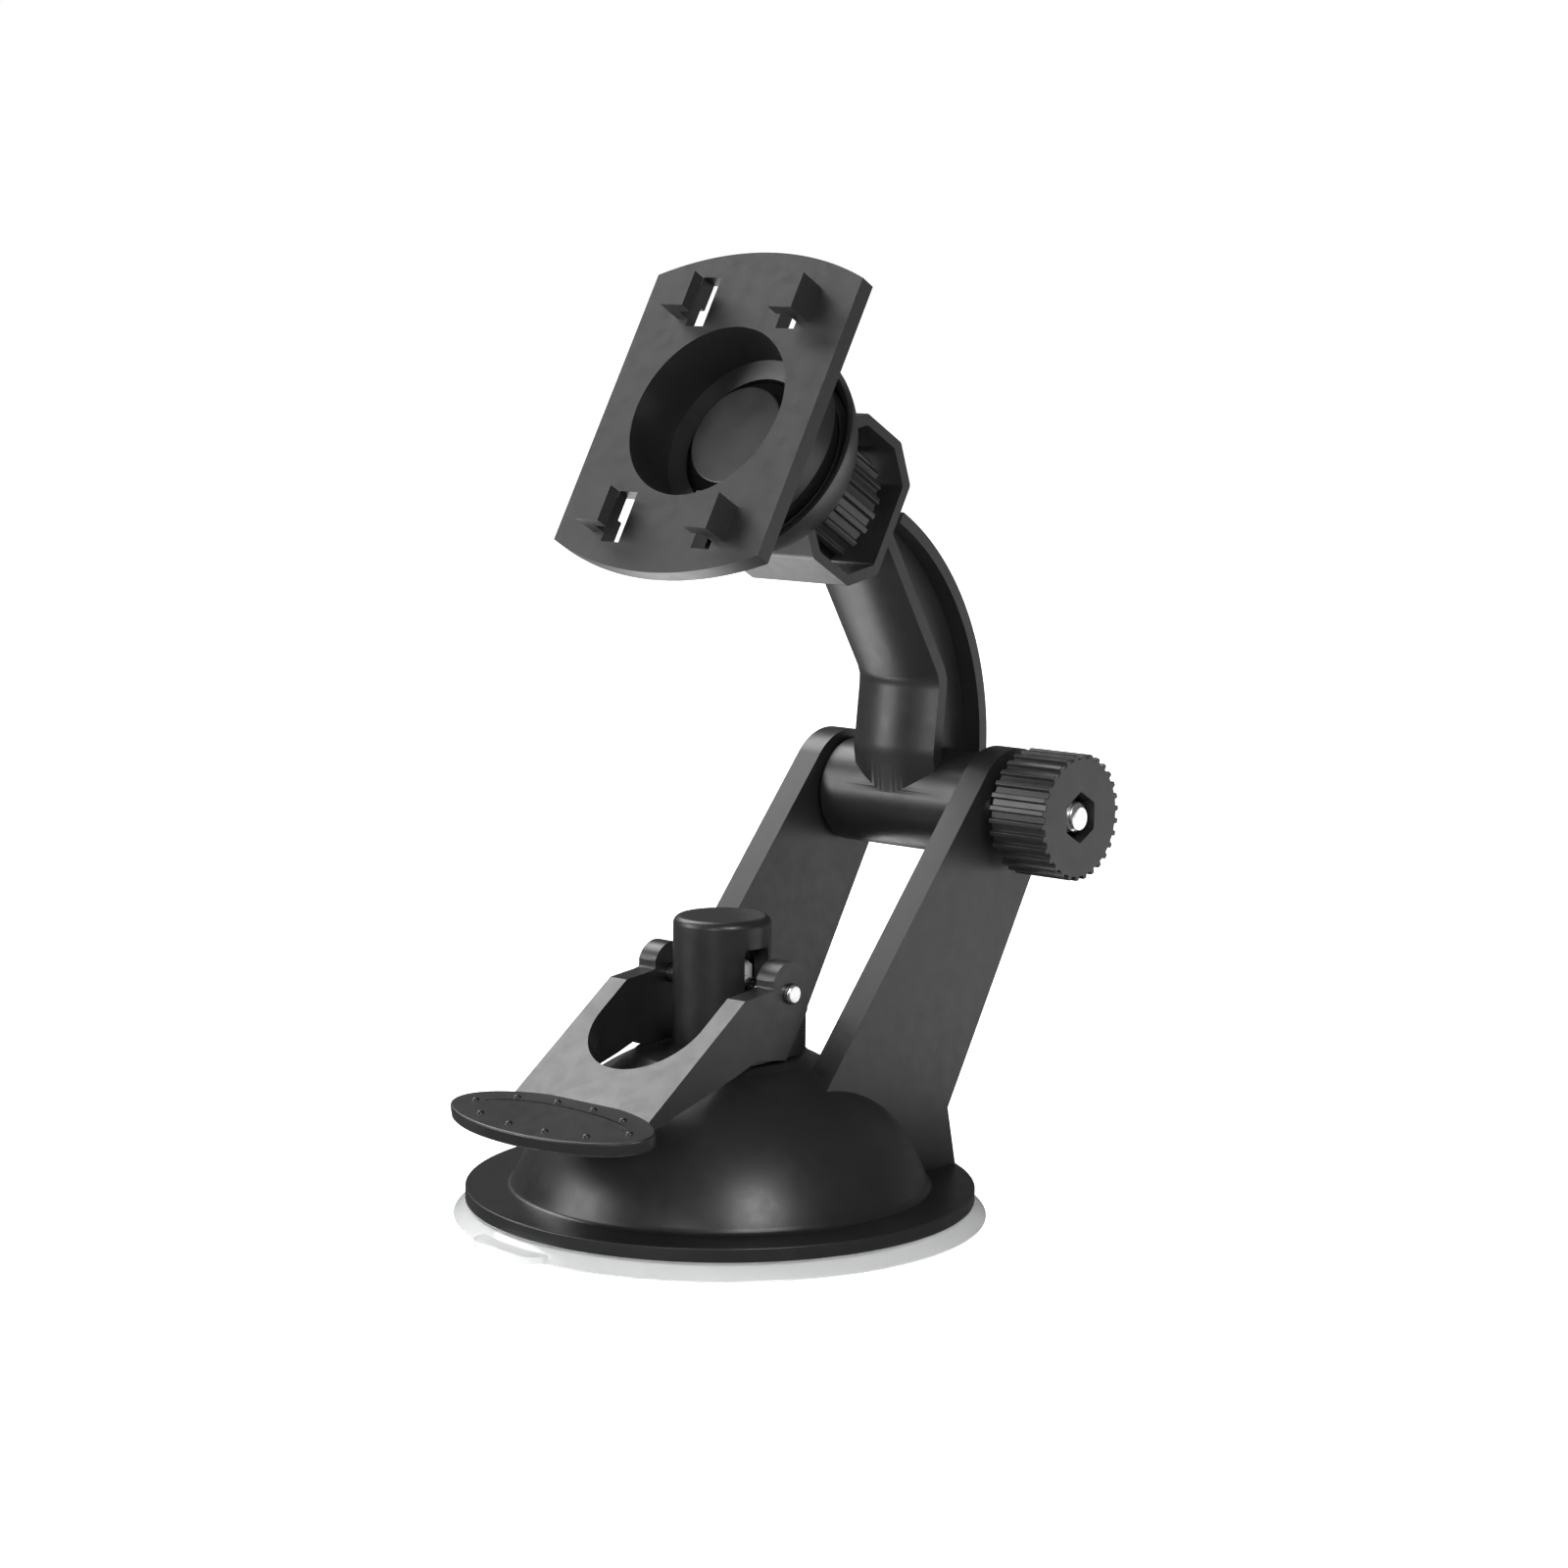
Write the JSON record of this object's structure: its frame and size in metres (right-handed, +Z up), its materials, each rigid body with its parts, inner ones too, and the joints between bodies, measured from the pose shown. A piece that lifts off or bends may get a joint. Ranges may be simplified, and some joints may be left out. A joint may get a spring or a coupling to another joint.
{
  "type": "dash camera suction mount",
  "caption": "Windscreen suction mount for a dash camera: lever-locked suction cup, forked base, tilting neck with knob, ball joint with thumbwheel, plate with hooked claws.",
  "frame": {"origin": "on the floor, under the middle of the whole mount at rest", "axes": "+Z up; +X towards the clamping knob; -Y towards the thumb lever and the way the plate faces"},
  "size_m": [0.066, 0.0824, 0.1178],
  "materials": {
    "black_plastic": "satin moulded black",
    "knob_plastic": "matt moulded black",
    "clear_cup": "clear glossy soft plastic",
    "steel": "bright zinc",
    "spring_steel": "drawn wire",
    "nylon": "natural",
    "rubber": "matt"
  },
  "bodies": {
    "base": {"base_housing": "black_plastic", "suction_cup": "clear_cup", "hinge_bolt": "steel", "left_friction_washer": "rubber", "right_friction_washer": "rubber", "knob_washer": "steel", "return_spring": "spring_steel"},
    "stem": {"cup_stem": "nylon", "lever_pin": "steel"},
    "lever": {"release_lever": "black_plastic"},
    "neck_arm": {"neck": "black_plastic", "ball_head": "black_plastic", "clamp_bolt": "steel", "wheel_washer": "steel"},
    "knob": {"clamp_knob": "knob_plastic", "knob_nut": "steel"},
    "wheel": {"thumbwheel": "knob_plastic", "wheel_nut": "steel"},
    "ring": {"friction_ring": "rubber"},
    "seat": {"seat_washer": "nylon"},
    "plate": {"claw_plate": "black_plastic"}
  },
  "joints": [
    {"name": "stem_lift", "type": "slide", "parent": "base", "child": "stem", "axis": [0, 0, 1], "range_m": [-0.0034, 0], "deforming": ["suction_cup", "return_spring"]},
    {"name": "lever_pivot", "type": "hinge", "parent": "stem", "child": "lever", "pos_m": [0, -0.00504, 0.02895], "axis": [-1, 0, 0], "range_deg": [0, 90]},
    {"name": "neck_tilt", "type": "hinge", "parent": "base", "child": "neck_arm", "pos_m": [0, 0.03311, 0.048], "axis": [-1, 0, 0], "range_deg": [-45, 100]},
    {"name": "knob_spin", "type": "hinge", "parent": "base", "child": "knob", "pos_m": [0.0218, 0.03311, 0.048], "axis": [1, 0, 0], "continuous": true},
    {"name": "wheel_spin", "type": "hinge", "parent": "neck_arm", "child": "wheel", "pos_m": [0, -0.00305, 0.09577], "axis": [0, -0.866, 0.5], "continuous": true},
    {"name": "ball_tilt", "type": "hinge", "parent": "neck_arm", "child": "ring", "pos_m": [0, -0.00305, 0.09577], "axis": [1, 0, 0], "range_deg": [-15, 15]},
    {"name": "ball_pan", "type": "hinge", "parent": "ring", "child": "seat", "pos_m": [0, -0.00305, 0.09577], "axis": [0, 0.5, 0.866], "range_deg": [-15, 15]},
    {"name": "ball_spin", "type": "hinge", "parent": "seat", "child": "plate", "pos_m": [0, -0.00305, 0.09577], "axis": [0, -0.866, 0.5], "continuous": true}
  ],
  "couplings": [
    {"joint": "stem_lift", "follows": "lever_pivot", "m_per_rad": -0.0021645}
  ]
}
